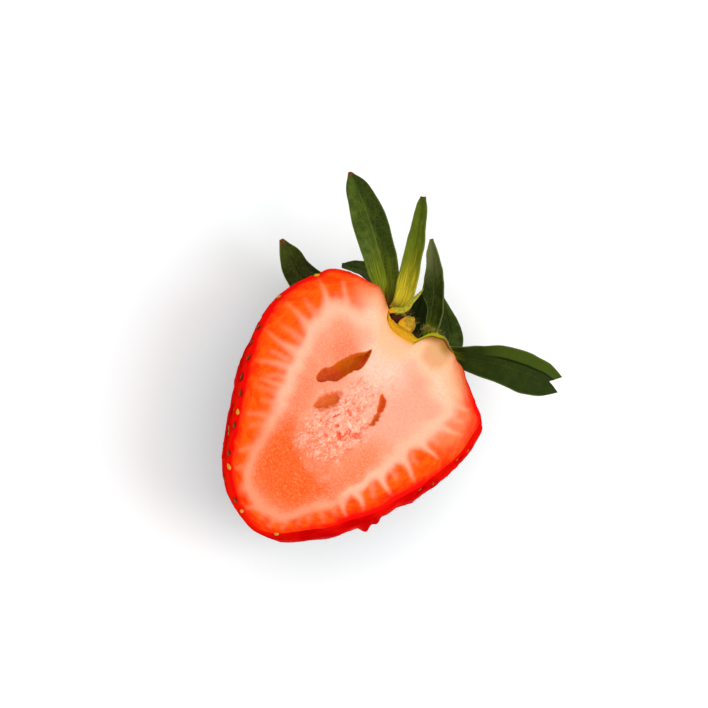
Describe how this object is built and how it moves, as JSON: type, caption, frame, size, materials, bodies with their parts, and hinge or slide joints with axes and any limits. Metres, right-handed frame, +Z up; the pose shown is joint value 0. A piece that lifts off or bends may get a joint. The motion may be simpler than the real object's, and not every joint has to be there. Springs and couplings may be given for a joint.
{
  "type": "halved strawberry",
  "caption": "Ripe strawberry cut in half lengthwise, lying on its rounded back with the pale cut face up and its green sepals on.",
  "frame": {"origin": "middle of the small flat spot that the half fruit rests on", "axes": "+Z up, square to the cut face; +Y from the tip to the stem; +X across the cut face"},
  "size_m": [0.0574, 0.0676, 0.0271],
  "materials": {
    "fruit_flesh": "juicy red skin with golden seeds, and a moist cut face from red at the rim to salmon and cream in the middle",
    "seed_gold": "golden yellow seeds, some brown",
    "calyx_green_yellow": "cut calyx, golden yellow to yellow green, with fine pale hairs",
    "sepal_green": "dark green leaf with pale veins, yellower at its base",
    "sepal_yellow_green": "yellow green curled leaf with lengthwise ridges"
  },
  "bodies": {
    "root": {"flesh_half": "fruit_flesh", "calyx_cup": "calyx_green_yellow", "sepal_tall": "sepal_green", "sepal_curled": "sepal_yellow_green", "sepal_folded": "sepal_green", "sepal_inner": "sepal_green", "sepal_notched": "sepal_green", "sepal_left_upper": "sepal_green", "sepal_left_lower": "sepal_green"}
  },
  "joints": []
}
